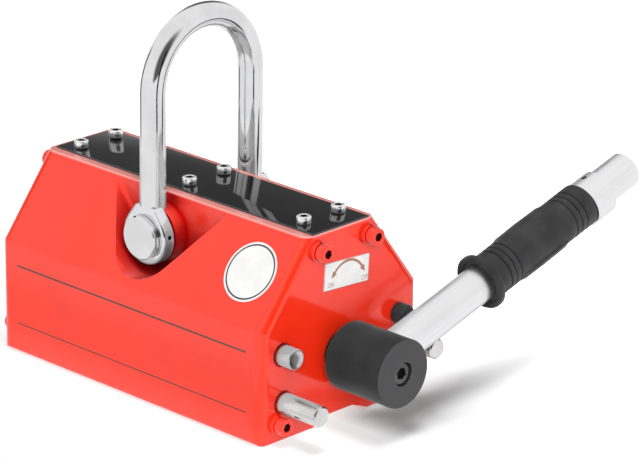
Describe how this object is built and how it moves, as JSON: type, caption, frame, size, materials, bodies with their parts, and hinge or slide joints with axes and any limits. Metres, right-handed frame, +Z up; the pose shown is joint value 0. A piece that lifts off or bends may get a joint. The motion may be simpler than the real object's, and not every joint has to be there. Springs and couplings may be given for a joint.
{
  "type": "permanent magnetic lifter",
  "caption": "Permanent magnetic lifter: red steel body with pole faces below, a bright shackle that swings on top, and a side handle that turns the magnet rotor ON and OFF.",
  "frame": {"origin": "in the plane of the pole faces, under the middle of the body's length and width", "axes": "+Z up from the pole faces to the shackle, +X along the body to the handle end, +Y to the side on which the handle rests when OFF"},
  "size_m": [0.2705, 0.2798, 0.221],
  "materials": {
    "red_paint": "gloss",
    "black_gloss": "mirror gloss",
    "chrome": "polished",
    "bright_steel": "ground",
    "satin_steel": "satin",
    "dark_steel": "oiled",
    "black_satin": "satin",
    "rubber": "matt",
    "spacer_brass": "machined",
    "magnet": "plated"
  },
  "bodies": {
    "base": {"near_pole_block": "red_paint", "far_pole_block": "red_paint", "front_cover": "red_paint", "rear_cover": "red_paint", "front_cover_washers": "red_paint", "front_cover_spring_washers": "red_paint", "front_cover_screws": "red_paint", "rear_cover_washers": "red_paint", "rear_cover_spring_washers": "red_paint", "rear_cover_screws": "red_paint", "top_spacer": "spacer_brass", "bottom_spacer": "spacer_brass", "front_bush": "spacer_brass", "rear_bush": "spacer_brass", "top_plate": "black_gloss", "top_plate_screws": "chrome", "near_shackle_pin": "chrome", "far_shackle_pin": "chrome", "on_stop_pin": "bright_steel", "off_stop_pin": "bright_steel", "button_spring": "dark_steel", "handle_buffer": "rubber"},
    "handle": {"upper_rotor_pole": "dark_steel", "lower_rotor_pole": "dark_steel", "rotor_magnets": "magnet", "front_shaft": "dark_steel", "rear_shaft": "dark_steel", "rotor_screws": "dark_steel", "hub_key": "dark_steel", "hub": "black_satin", "hub_screw": "dark_steel", "handle_tube": "satin_steel", "tube_plug": "satin_steel", "grip": "rubber", "handle_collar": "satin_steel"},
    "shackle": {"shackle": "chrome"},
    "button": {"spring_button": "bright_steel"}
  },
  "joints": [
    {"name": "handle_turn", "type": "hinge", "parent": "base", "child": "handle", "pos_m": [0, 0, 0.0405], "axis": [1, 0, 0], "range_deg": [0, 164]},
    {"name": "shackle_swing", "type": "hinge", "parent": "base", "child": "shackle", "pos_m": [-0.004, 0, 0.0915], "axis": [0, 1, 0], "range_deg": [-50, 50]},
    {"name": "button_press", "type": "slide", "parent": "base", "child": "button", "axis": [1, 0, 0], "range_m": [-0.008, 0], "stiffness_N_per_m": 800, "springref_m": 0.004, "deforming": ["button_spring"]}
  ]
}
